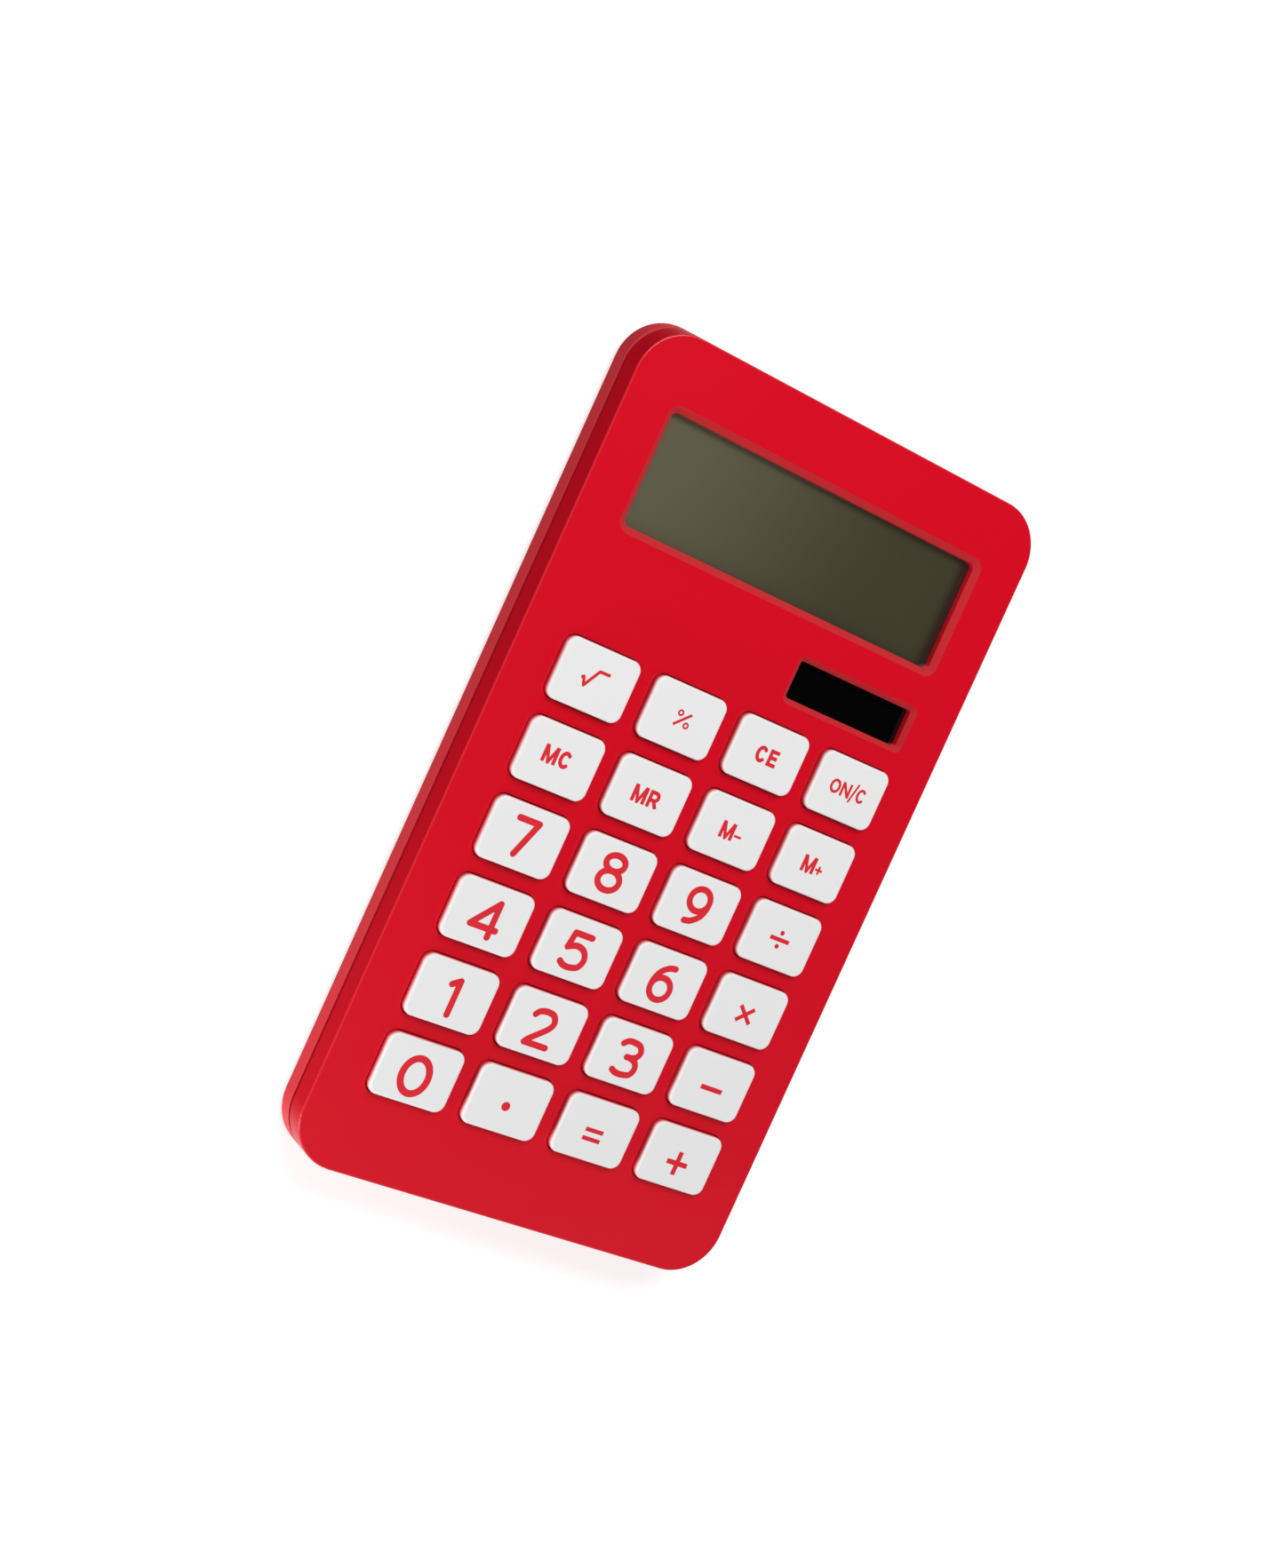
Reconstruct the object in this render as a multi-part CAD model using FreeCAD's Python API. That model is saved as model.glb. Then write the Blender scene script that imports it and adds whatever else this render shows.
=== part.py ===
"""Desk calculator: a slim pocket-size body with 24 sprung keys, a display and a solar cell.

Units are millimetres. +X runs to the right of the keypad, +Y towards the display and +Z out of
the face. The rubber feet stand on Z = 0 and every other height is worked out from that. Pieces
are drawn about the middle of the face, then moved along Y to centre the footprint.
"""
import FreeCAD
import Part
import math
import os

V = FreeCAD.Vector
UP = V(0, 0, 1)

# ---- body ------------------------------------------------------------------------------
BODY_W = 85.0
BODY_L = 147.7
BODY_T = 10.4                 # face to rear, without the feet
CORNER_R = 8.8
END_LEAN = 0.13               # how far the display end leans out for each mm below the face
FOOT_PROUD = 0.6
REAR_Z = FOOT_PROUD
FACE_Z = REAR_Z + BODY_T      # 11.0
FACE_SKIN = 2.0
SKIN_Z = FACE_Z - FACE_SKIN   # 9.0, underside of the face
FACE_EDGE_R = 0.3
REAR_EDGE_R = 1.5
FRONT_SIDE_H = 4.9            # height of the front housing's outer side
SEAM_GAP = 0.8                # open groove between the two housings
SEAM_DEPTH = 1.05
SEAM_EDGE_R = 0.15
WALL_INNER = 2.05             # outer side to the inner face of the front wall
FRONT_SIDE_Z = FACE_Z - FRONT_SIDE_H
REAR_TOP_Z = FRONT_SIDE_Z - SEAM_GAP
REAR_WALL = 1.5
REAR_SKIN = 1.5
REAR_IN_Z = REAR_Z + REAR_SKIN
TONGUE_Z = REAR_TOP_Z - 1.05  # lower end of the front housing's tongue

# ---- windows (width, length, centre) -----------------------------------------------------
LCD_WIN = (68.1, 22.4)
LCD_WIN_C = (-0.05, 51.57)
LCD_BEVEL = 1.2
LCD_WIN_R = (2.2, 1.1)
SOLAR_WIN = (26.6, 8.75)
SOLAR_WIN_C = (21.0, 30.43)
SOLAR_BEVEL = 0.95
SOLAR_WIN_R = (1.4, 0.55)
BEVEL_DEPTH = 0.8

# ---- keys --------------------------------------------------------------------------------
KEY_COLS = (-26.85, -8.95, 8.95, 26.85)
KEY_ROWS = (16.7, 2.6, -11.5, -25.6, -39.7, -53.8)
KEY_NAMES = (
    ("key_square_root", "key_percent", "key_clear_entry", "key_on_clear"),
    ("key_memory_clear", "key_memory_recall", "key_memory_minus", "key_memory_plus"),
    ("key_7", "key_8", "key_9", "key_divide"),
    ("key_4", "key_5", "key_6", "key_multiply"),
    ("key_1", "key_2", "key_3", "key_minus"),
    ("key_0", "key_decimal", "key_equals", "key_plus"),
)
KEY_CAP = (14.5, 11.0)
KEY_CAP_R = 1.8
KEY_TOP_R = 0.5
KEY_PROUD = 1.3
KEY_GAP = 0.15
KEY_HOLE_EDGE_R = 0.25
KEY_FLANGE = 0.9              # flange width outside the cap
KEY_FLANGE_T = 0.7
KEY_FLANGE_GAP = 0.05
KEY_WALL = 1.2
KEY_ROOF = 1.6
KEY_TRAVEL = 0.9
KEY_TOP_Z = FACE_Z + KEY_PROUD
FLANGE_Z = SKIN_Z - KEY_FLANGE_GAP - KEY_FLANGE_T
KEY_ROOF_Z = KEY_TOP_Z - KEY_ROOF

# ---- board and rubber keypad ---------------------------------------------------------------
BOARD_TOP = 6.5
BOARD_T = 1.2
BOARD_BOTTOM = BOARD_TOP - BOARD_T
BOARD_X = 38.5
BOARD_Y = (-62.0, 43.5)
BOARD_R = 2.0
MAT_T = 0.6
MAT_X = 37.0
MAT_Y = (-61.0, 25.0)
DOME_R = (4.2, 2.6)           # foot and shoulder radius of a dome
DOME_CAVITY_R = (3.6, 2.0)
DOME_SHOULDER_Z = 8.0
PLUNGER_R = 2.4
PAD_T = 0.035
PAD_R = 2.2
PAD_SLIT = 0.3
PILL_R = 1.6
PILL_T = 0.2
PILL_Z = BOARD_TOP + PAD_T + KEY_TRAVEL

# ---- screws --------------------------------------------------------------------------------
BOARD_POSTS = ((-17.9, 9.65), (17.9, 9.65), (0.0, -18.55), (-17.9, -46.75), (17.9, -46.75))
BOARD_POST_R = 1.6
BOARD_SCREW_R = 0.75
BOARD_SCREW_TIP_Z = 8.2
BOARD_HEAD = (1.5, 0.8)       # head radius and height
CASE_POSTS = ((-35.5, 67.5), (35.5, 67.5), (-35.5, -67.5), (35.5, -67.5))
CASE_POST_R = 2.4
CASE_SPLIT_Z = 5.9
CASE_SCREW_R = 1.0
CASE_SCREW_TIP_Z = 8.2
CASE_HEAD = (1.9, 1.2)
CASE_SEAT_Z = 2.4             # floor of the counterbore
THREAD_GAP = 0.02

# ---- display -------------------------------------------------------------------------------
LCD_X = 35.0
LCD_Y = (38.9, 63.3)
LCD_LEDGE = 2.7               # part of the front glass that carries the contacts
POLARISER_T = 0.2
GLASS_T = 0.7
REFLECTOR_T = 0.15
LCD_TOP = SKIN_Z
FRONT_GLASS_TOP = LCD_TOP - POLARISER_T
REAR_GLASS_TOP = FRONT_GLASS_TOP - GLASS_T
REFLECTOR_TOP = REAR_GLASS_TOP - GLASS_T
HOLDER_X = 36.6
HOLDER_Y = (37.4, 64.8)
HOLDER_BOTTOM = 6.8
STRIP_X = 32.0
STRIP_Y = (39.1, 41.1)
FIT_GAP = 0.1

# ---- solar cell ------------------------------------------------------------------------------
SOLAR_SIZE = (28.4, 9.4)
SOLAR_T = 1.1
SOLAR_RIB_T = 0.8
WIRE_R = 0.35

# ---- battery and its door ----------------------------------------------------------------------
CELL_R = 5.8                  # a standard 11.6 x 3.05 button cell
CELL_T = 3.05
CELL_C = (-18.0, 27.5)
DOOR_SIZE = (22.0, 16.0)
DOOR_GAP = 0.25
DOOR_CORNER_R = 1.2
DOOR_HINGE_Y = CELL_C[1] - DOOR_SIZE[1] / 2
DOOR_TAB = (3.6, 2.0, 0.8)    # width, reach under the skin, thickness
DOOR_TAB_X = 8.2
WELL_WALL = 1.0
WELL_TOP_Z = 5.2
CONTACT_T = 0.15

# ---- feet ----------------------------------------------------------------------------------
FOOT_R = 4.0
FOOT_T = 1.2
FOOT_X = 33.0
FOOT_Y = 56.0


def rounded_wire(w, l, r, z, cx=0.0, cy=0.0):
    """Closed wire of a rounded rectangle, w by l, at height z."""
    x = w / 2
    y = l / 2
    k = r * (1 - math.sqrt(0.5))
    edges = []
    corners = ((1, 1), (-1, 1), (-1, -1), (1, -1))
    for i, (sx, sy) in enumerate(corners):
        along_x = V(cx + sx * (x - r), cy + sy * y, z)
        along_y = V(cx + sx * x, cy + sy * (y - r), z)
        middle = V(cx + sx * (x - k), cy + sy * (y - k), z)
        first, last = (along_y, along_x) if sx * sy > 0 else (along_x, along_y)
        edges.append(Part.Arc(first, middle, last).toShape())
        nx, ny = corners[(i + 1) % 4]
        if nx != sx:
            following = V(cx + nx * (x - r), cy + ny * y, z)
        else:
            following = V(cx + nx * x, cy + ny * (y - r), z)
        edges.append(Part.makeLine(last, following))
    return Part.Wire(edges)


def slab(w, l, r, z0, z1, cx=0.0, cy=0.0):
    """Rounded plate between two heights."""
    face = Part.Face(rounded_wire(w, l, r, z0, cx, cy))
    return face.extrude(V(0, 0, z1 - z0))


def box(x0, x1, y0, y1, z0, z1):
    """Plain box between two corners."""
    return Part.makeBox(x1 - x0, y1 - y0, z1 - z0, V(x0, y0, z0))


def rod(x, y, r, z0, z1):
    """Upright cylinder between two heights."""
    return Part.makeCylinder(r, z1 - z0, V(x, y, z0), UP)


def cone(x, y, r0, r1, z0, z1):
    """Upright cone frustum between two heights."""
    return Part.makeCone(r0, r1, z1 - z0, V(x, y, z0), UP)


def edges_at(shape, z):
    """Edges that lie wholly at height z."""
    found = []
    for edge in shape.Edges:
        bounds = edge.BoundBox
        if abs(bounds.ZMin - z) < 1e-6 and abs(bounds.ZMax - z) < 1e-6:
            found.append(edge)
    return found


def inset(z0, z1, depth):
    """Body outline moved in by a depth, between two heights."""
    return slab(BODY_W - 2 * depth, BODY_L - 2 * depth, CORNER_R - depth, z0, z1)


def outer_side(z0, z1):
    """Body outline between two heights, with the display end leaning out towards the table."""
    wires = []
    for z in (z0, z1):
        lean = END_LEAN * (FACE_Z - z)
        wires.append(rounded_wire(BODY_W, BODY_L + lean, CORNER_R, z, 0.0, lean / 2))
    return Part.makeLoft(wires, True, True)


def window_cut(size, centre, radii, bevel):
    """Tool for a window with a sloping bevel above a straight wall."""
    w, l = size
    cx, cy = centre
    outer = rounded_wire(w, l, radii[0], FACE_Z, cx, cy)
    inner = rounded_wire(w - 2 * bevel, l - 2 * bevel, radii[1], FACE_Z - BEVEL_DEPTH, cx, cy)
    funnel = Part.makeLoft([inner, outer], True, True)
    shaft = slab(w - 2 * bevel, l - 2 * bevel, radii[1], SKIN_Z - 1, FACE_Z - BEVEL_DEPTH, cx, cy)
    return funnel.fuse(shaft)


def key_sites():
    """Name and centre of every key, row by row."""
    for y, names in zip(KEY_ROWS, KEY_NAMES):
        for x, name in zip(KEY_COLS, names):
            yield name, x, y


def front_housing():
    """Face, outer side, tongue, key holes, windows and screw posts in one moulding."""
    shell = outer_side(FRONT_SIDE_Z, FACE_Z)
    shell = shell.makeFillet(FACE_EDGE_R, edges_at(shell, FACE_Z))
    shell = shell.makeFillet(SEAM_EDGE_R, edges_at(shell, FRONT_SIDE_Z))
    shell = shell.fuse(inset(TONGUE_Z, FRONT_SIDE_Z + 1, SEAM_DEPTH))
    shell = shell.cut(inset(TONGUE_Z - 1, SKIN_Z, WALL_INNER))
    holes = []
    for _, x, y in key_sites():
        w = KEY_CAP[0] + 2 * KEY_GAP
        l = KEY_CAP[1] + 2 * KEY_GAP
        holes.append(slab(w, l, KEY_CAP_R + KEY_GAP, SKIN_Z - 1, FACE_Z + 1, x, y))
    shell = shell.cut(Part.makeCompound(holes))
    rims = []
    for edge in edges_at(shell, FACE_Z):
        centre = edge.BoundBox.Center
        if abs(centre.x) < BODY_W / 2 - 3 and abs(centre.y) < BODY_L / 2 - 3:
            rims.append(edge)
    shell = shell.makeFillet(KEY_HOLE_EDGE_R, rims)
    shell = shell.cut(window_cut(LCD_WIN, LCD_WIN_C, LCD_WIN_R, LCD_BEVEL))
    shell = shell.cut(window_cut(SOLAR_WIN, SOLAR_WIN_C, SOLAR_WIN_R, SOLAR_BEVEL))
    w, l = SOLAR_SIZE
    cx, cy = SOLAR_WIN_C
    t = SOLAR_RIB_T
    fence = slab(w + 2 * t + FIT_GAP, l + 2 * t + FIT_GAP, 1.0, SKIN_Z - SOLAR_T, SKIN_Z, cx, cy)
    fence = fence.cut(slab(w + FIT_GAP, l + FIT_GAP, 0.2, SKIN_Z - SOLAR_T - 1, SKIN_Z, cx, cy))
    shell = shell.fuse(fence)
    for x, y in BOARD_POSTS:
        shell = shell.fuse(rod(x, y, BOARD_POST_R, BOARD_TOP, SKIN_Z))
        pilot = rod(x, y, BOARD_SCREW_R + THREAD_GAP, BOARD_TOP - 1, BOARD_SCREW_TIP_Z + 0.2)
        shell = shell.cut(pilot)
    for x, y in CASE_POSTS:
        shell = shell.fuse(rod(x, y, CASE_POST_R, CASE_SPLIT_Z, SKIN_Z))
        pilot = rod(x, y, CASE_SCREW_R + THREAD_GAP, CASE_SPLIT_Z - 1, CASE_SCREW_TIP_Z + 0.2)
        shell = shell.cut(pilot)
    return shell.removeSplitter()


def battery_well():
    """Walls and ribs that box in the button cell, and the skin ledge for the door tabs."""
    cx, cy = CELL_C
    x0 = cx - DOOR_SIZE[0] / 2 - DOOR_GAP
    x1 = cx + DOOR_SIZE[0] / 2 + DOOR_GAP
    y0 = DOOR_HINGE_Y - DOOR_TAB[1] - 1.4
    y1 = cy + DOOR_SIZE[1] / 2 + DOOR_GAP
    t = WELL_WALL
    wall = box(x0 - t, x1 + t, y0 - t, y1 + t, REAR_IN_Z, WELL_TOP_Z)
    wall = wall.cut(box(x0, x1, y0, y1, REAR_IN_Z, WELL_TOP_Z))
    half = CELL_R * 0.94
    for y in (cy - 3.5, cy + 2.5):
        wall = wall.fuse(box(x0 - t / 2, cx - half, y, y + 1.0, REAR_IN_Z + 0.2, WELL_TOP_Z))
        wall = wall.fuse(box(cx + half, x1 + t / 2, y, y + 1.0, REAR_IN_Z + 0.2, WELL_TOP_Z))
    return wall


def rear_housing():
    """Rear tray with battery opening, screw pillars, board props and foot recesses."""
    shell = outer_side(REAR_Z, REAR_TOP_Z)
    shell = shell.makeFillet(REAR_EDGE_R, edges_at(shell, REAR_Z))
    shell = shell.makeFillet(SEAM_EDGE_R, edges_at(shell, REAR_TOP_Z))
    shell = shell.cut(inset(REAR_IN_Z, REAR_TOP_Z + 1, REAR_WALL))
    shell = shell.cut(inset(TONGUE_Z - 0.05, REAR_TOP_Z + 1, SEAM_DEPTH - 0.05))
    shell = shell.fuse(battery_well())
    for x in (-30.0, 30.0):
        shell = shell.fuse(box(x - 0.6, x + 0.6, 46.0, 62.0, REAR_IN_Z - 0.5, HOLDER_BOTTOM))
    for x in (-26.85, 0.0, 26.85):
        for y in (2.6, -32.65, -53.8):
            shell = shell.fuse(rod(x, y, 1.1, REAR_IN_Z - 0.5, BOARD_BOTTOM))
    for x, y in CASE_POSTS:
        shell = shell.fuse(rod(x, y, CASE_POST_R + 0.4, REAR_IN_Z - 0.5, CASE_SPLIT_Z))
        shell = shell.cut(rod(x, y, CASE_SCREW_R + 0.15, REAR_Z - 1, CASE_SPLIT_Z + 1))
        shell = shell.cut(rod(x, y, CASE_HEAD[0] + 0.2, REAR_Z - 1, CASE_SEAT_Z))
    for sx in (-1, 1):
        for sy in (-1, 1):
            recess = rod(sx * FOOT_X, sy * FOOT_Y, FOOT_R + 0.05, REAR_Z - 1, FOOT_T)
            shell = shell.cut(recess)
    w = DOOR_SIZE[0] + 2 * DOOR_GAP
    l = DOOR_SIZE[1] + 2 * DOOR_GAP
    opening = slab(w, l, DOOR_CORNER_R, REAR_Z - 1, REAR_IN_Z, CELL_C[0], CELL_C[1])
    return shell.cut(opening).removeSplitter()


def battery_door():
    """Snap-in door: plate with grip ribs, two hook tabs and a latch nib."""
    cx, cy = CELL_C
    w, l = DOOR_SIZE
    door = slab(w, l, DOOR_CORNER_R, REAR_Z, REAR_IN_Z, cx, cy)
    door = door.cut(slab(9.0, 3.6, 1.0, REAR_Z - 1, REAR_Z + 0.4, cx, cy + l / 2 - 3.4))
    for i in range(3):
        y = cy + l / 2 - 4.4 + i * 1.0
        door = door.fuse(box(cx - 3.6, cx + 3.6, y - 0.2, y + 0.2, REAR_Z + 0.1, REAR_Z + 0.6))
    tab_w, reach, t = DOOR_TAB
    for side in (-1, 1):
        x = cx + side * DOOR_TAB_X
        z0 = REAR_IN_Z + 0.05
        tab = box(x - tab_w / 2, x + tab_w / 2, DOOR_HINGE_Y - reach, DOOR_HINGE_Y + 1.2, z0, z0 + t)
        root = box(x - tab_w / 2, x + tab_w / 2, DOOR_HINGE_Y + 0.2, DOOR_HINGE_Y + 1.2,
                   REAR_IN_Z - 0.5, z0 + t)
        door = door.fuse(tab).fuse(root)
    edge_y = cy + l / 2
    nib = box(cx - 3.0, cx + 3.0, edge_y - 0.5, edge_y + 0.12, REAR_Z + 0.7, REAR_Z + 1.2)
    return door.fuse(nib).removeSplitter()


def key(x, y):
    """Hollow key cap with a retaining flange round its foot."""
    w, l = KEY_CAP
    cap = slab(w, l, KEY_CAP_R, FLANGE_Z, KEY_TOP_Z, x, y)
    cap = cap.makeFillet(KEY_TOP_R, edges_at(cap, KEY_TOP_Z))
    flange = slab(w + 2 * KEY_FLANGE, l + 2 * KEY_FLANGE, KEY_CAP_R + KEY_FLANGE,
                  FLANGE_Z, FLANGE_Z + KEY_FLANGE_T, x, y)
    hollow = slab(w - 2 * KEY_WALL, l - 2 * KEY_WALL, 0.8, FLANGE_Z - 1, KEY_ROOF_Z, x, y)
    return cap.fuse(flange).cut(hollow).removeSplitter()


def circuit_board():
    """Bare board with its screw holes."""
    length = BOARD_Y[1] - BOARD_Y[0]
    middle = (BOARD_Y[0] + BOARD_Y[1]) / 2
    board = slab(2 * BOARD_X, length, BOARD_R, BOARD_BOTTOM, BOARD_TOP, 0, middle)
    for x, y in BOARD_POSTS:
        board = board.cut(rod(x, y, BOARD_SCREW_R + 0.1, BOARD_BOTTOM - 1, BOARD_TOP + 1))
    return board


def key_pads():
    """Two half discs of bare contact under every key."""
    pads = []
    for _, x, y in key_sites():
        disc = rod(x, y, PAD_R, BOARD_TOP, BOARD_TOP + PAD_T)
        slit = box(x - PAD_SLIT / 2, x + PAD_SLIT / 2, y - PAD_R, y + PAD_R,
                   BOARD_TOP, BOARD_TOP + PAD_T)
        pads.extend(disc.cut(slit).Solids)
    return Part.makeCompound(pads)


def rubber_keypad():
    """One silicone sheet with a hollow dome and plunger under every key."""
    length = MAT_Y[1] - MAT_Y[0]
    middle = (MAT_Y[0] + MAT_Y[1]) / 2
    mat_top = BOARD_TOP + MAT_T
    mat = slab(2 * MAT_X, length, BOARD_R, BOARD_TOP, mat_top, 0, middle)
    domes = []
    cavities = []
    for _, x, y in key_sites():
        domes.append(cone(x, y, DOME_R[0], DOME_R[1], mat_top - 0.1, DOME_SHOULDER_Z))
        domes.append(rod(x, y, PLUNGER_R, DOME_SHOULDER_Z - 0.2, KEY_ROOF_Z))
        cavities.append(cone(x, y, DOME_CAVITY_R[0], DOME_CAVITY_R[1], BOARD_TOP, PILL_Z + PILL_T))
    for dome in domes:
        mat = mat.fuse(dome)
    for x, y in BOARD_POSTS:
        cavities.append(rod(x, y, BOARD_POST_R + 0.2, BOARD_TOP - 1, mat_top + 1))
    return mat.cut(Part.makeCompound(cavities)).removeSplitter()


def contact_pills():
    """Conductive discs on the undersides of the domes."""
    return Part.makeCompound([rod(x, y, PILL_R, PILL_Z, PILL_Z + PILL_T)
                              for _, x, y in key_sites()])


def screw(x, y, head_z, head, shank_r, tip_z):
    """Pan head screw with a cross recess, head down."""
    radius, height = head
    body = rod(x, y, radius, head_z - height, head_z)
    body = body.makeFillet(height * 0.35, edges_at(body, head_z - height))
    cone_h = shank_r
    body = body.fuse(rod(x, y, shank_r, head_z - 0.1, tip_z - cone_h))
    body = body.fuse(cone(x, y, shank_r, shank_r * 0.25, tip_z - cone_h, tip_z))
    arm = radius * 0.62
    slot = radius * 0.16
    depth = height * 0.5
    z0 = head_z - height - 0.1
    body = body.cut(box(x - arm, x + arm, y - slot, y + slot, z0, z0 + depth + 0.1))
    return body.cut(box(x - slot, x + slot, y - arm, y + arm, z0, z0 + depth + 0.1))


def board_screws():
    """Screws that hold the board to the front housing."""
    return Part.makeCompound([screw(x, y, BOARD_BOTTOM, BOARD_HEAD, BOARD_SCREW_R,
                                    BOARD_SCREW_TIP_Z) for x, y in BOARD_POSTS])


def case_screws():
    """Screws that draw the rear housing to the front housing."""
    return Part.makeCompound([screw(x, y, CASE_SEAT_Z, CASE_HEAD, CASE_SCREW_R,
                                    CASE_SCREW_TIP_Z) for x, y in CASE_POSTS])


def lcd_stack():
    """Display layers from the top down, with the front glass wider than the rear glass."""
    y0, y1 = LCD_Y
    rear_y0 = y0 + LCD_LEDGE
    return {
        "lcd_polariser": box(-34.4, 34.4, 40.2, 63.0, FRONT_GLASS_TOP, LCD_TOP),
        "lcd_front_glass": box(-LCD_X, LCD_X, y0, y1, REAR_GLASS_TOP, FRONT_GLASS_TOP),
        "lcd_rear_glass": box(-LCD_X, LCD_X, rear_y0, y1, REFLECTOR_TOP, REAR_GLASS_TOP),
        "lcd_reflector": box(-34.4, 34.4, rear_y0 + 0.4, y1 - 0.3,
                             REFLECTOR_TOP - REFLECTOR_T, REFLECTOR_TOP),
    }


def lcd_holder():
    """Tray that clamps the display under the face, open below for light and contacts."""
    floor_top = REFLECTOR_TOP - REFLECTOR_T
    holder = box(-HOLDER_X, HOLDER_X, HOLDER_Y[0], HOLDER_Y[1], HOLDER_BOTTOM, SKIN_Z)
    g = FIT_GAP
    holder = holder.cut(box(-LCD_X - g, LCD_X + g, LCD_Y[0] - g, LCD_Y[1] + g, floor_top, SKIN_Z))
    holder = holder.cut(box(-29.0, 29.0, 44.6, 61.0, HOLDER_BOTTOM, floor_top))
    return holder.cut(box(-STRIP_X - g, STRIP_X + g, STRIP_Y[0] - g, STRIP_Y[1] + g,
                          HOLDER_BOTTOM, floor_top))


def connector_strip():
    """Rubber strip that joins the glass contacts to the board."""
    return box(-STRIP_X, STRIP_X, STRIP_Y[0], STRIP_Y[1], BOARD_TOP, REAR_GLASS_TOP)


def solar_cell():
    """Glass plate solar cell under its window."""
    w, l = SOLAR_SIZE
    cx, cy = SOLAR_WIN_C
    return box(cx - w / 2, cx + w / 2, cy - l / 2, cy + l / 2, SKIN_Z - SOLAR_T, SKIN_Z)


def solar_wires():
    """Two short insulated leads from the solar cell's back to the board."""
    wires = []
    top = SKIN_Z - SOLAR_T
    run_z = BOARD_TOP + WIRE_R + 0.3
    for y in (SOLAR_WIN_C[1] - 1.5, SOLAR_WIN_C[1] + 1.5):
        start = V(9.0, y, top)
        corner = V(9.0, y, run_z)
        turn = V(3.0, y, run_z)
        end = V(3.0, y, BOARD_TOP)
        bend = 0.4
        c = bend * math.sqrt(0.5)
        path = Part.Wire([
            Part.makeLine(start, corner + V(0, 0, bend)),
            Part.Arc(corner + V(0, 0, bend), corner + V(c - bend, 0, bend - c),
                     corner + V(-bend, 0, 0)).toShape(),
            Part.makeLine(corner + V(-bend, 0, 0), turn + V(bend, 0, 0)),
            Part.Arc(turn + V(bend, 0, 0), turn + V(bend - c, 0, c - bend),
                     turn + V(0, 0, -bend)).toShape(),
            Part.makeLine(turn + V(0, 0, -bend), end),
        ])
        section = Part.Wire([Part.makeCircle(WIRE_R, start, UP)])
        wires.append(path.makePipeShell([section], True, False))
    return Part.makeCompound(wires)


def chip_cover():
    """Low dome of potting resin over the bonded chip, under the board."""
    dome_r = 5.0
    rise = 1.3
    sphere_r = (dome_r ** 2 + rise ** 2) / (2 * rise)
    ball = Part.makeSphere(sphere_r, V(14.0, 31.0, BOARD_BOTTOM - rise + sphere_r))
    return ball.common(rod(14.0, 31.0, dome_r + 1, BOARD_BOTTOM - rise - 1, BOARD_BOTTOM))


def board_capacitor():
    """Surface-mounted block capacitor under the board."""
    return box(23.0, 26.4, 29.6, 32.4, BOARD_BOTTOM - 1.5, BOARD_BOTTOM)


def board_resistors():
    """Two small chip resistors under the board."""
    blocks = [box(x, x + 2.0, 24.4, 25.65, BOARD_BOTTOM - 0.55, BOARD_BOTTOM)
              for x in (11.0, 15.0)]
    return Part.makeCompound(blocks)


def battery_cell():
    """Button cell with its stepped negative cap upwards."""
    cx, cy = CELL_C
    can = rod(cx, cy, CELL_R, REAR_IN_Z, REAR_IN_Z + CELL_T - 0.35)
    can = can.makeFillet(0.3, can.Edges)
    cap = rod(cx, cy, CELL_R - 1.2, REAR_IN_Z + CELL_T - 0.6, REAR_IN_Z + CELL_T)
    cap = cap.makeFillet(0.2, edges_at(cap, REAR_IN_Z + CELL_T))
    return can.fuse(cap).removeSplitter()


def battery_contacts():
    """Leaf on the cell's cap and bent clip at its side, both soldered under the board."""
    cx, cy = CELL_C
    top = BOARD_BOTTOM
    leaf = slab(6.0, 6.0, 1.0, top - CONTACT_T, top, cx, cy)
    side_y = cy + CELL_R
    clip = box(cx - 2.0, cx + 2.0, side_y, side_y + 0.3, REAR_IN_Z + 0.6, top)
    foot = box(cx - 2.0, cx + 2.0, side_y, side_y + 1.8, top - 0.3, top)
    return {"battery_contact_leaf": leaf, "battery_contact_clip": clip.fuse(foot).removeSplitter()}


def foot(sx, sy):
    """Round rubber foot in its recess."""
    pad = rod(sx * FOOT_X, sy * FOOT_Y, FOOT_R, 0, FOOT_T)
    return pad.makeFillet(0.25, edges_at(pad, 0))


def build():
    """Every node of the calculator by name."""
    nodes = {
        "front_housing": front_housing(),
        "rear_housing": rear_housing(),
        "battery_door": battery_door(),
        "circuit_board": circuit_board(),
        "board_key_pads": key_pads(),
        "rubber_keypad": rubber_keypad(),
        "contact_pills": contact_pills(),
        "board_screws": board_screws(),
        "case_screws": case_screws(),
        "lcd_holder": lcd_holder(),
        "lcd_connector_strip": connector_strip(),
        "solar_cell": solar_cell(),
        "solar_wires": solar_wires(),
        "chip_cover": chip_cover(),
        "board_capacitor": board_capacitor(),
        "board_resistors": board_resistors(),
        "battery_cell": battery_cell(),
        "foot_front_left": foot(-1, -1),
        "foot_front_right": foot(1, -1),
        "foot_rear_left": foot(-1, 1),
        "foot_rear_right": foot(1, 1),
    }
    nodes.update(lcd_stack())
    nodes.update(battery_contacts())
    for name, x, y in key_sites():
        nodes[name] = key(x, y)
    return nodes


os.makedirs("parts", exist_ok=True)
pieces = build()
# The leaning end makes the footprint longer on one side, so its centre goes back to the origin.
centre_y = pieces["rear_housing"].optimalBoundingBox(False, False).Center.y
for node, shape in pieces.items():
    shape.translate(V(0, -centre_y, 0))
    shape.exportStep(f"parts/{node}.step")
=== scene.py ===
"""Looks of a slim desk calculator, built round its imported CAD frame.

Everything is in metres in the CAD's own frame: the origin is the centre of the footprint on
the table, +X runs to the right of the keypad, +Y towards the display and +Z out of the face.
"""

import logging
import math
from dataclasses import dataclass, field
from enum import Enum

import bmesh
import bpy
import numpy as np
from mathutils import Euler, Matrix, Vector

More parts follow.
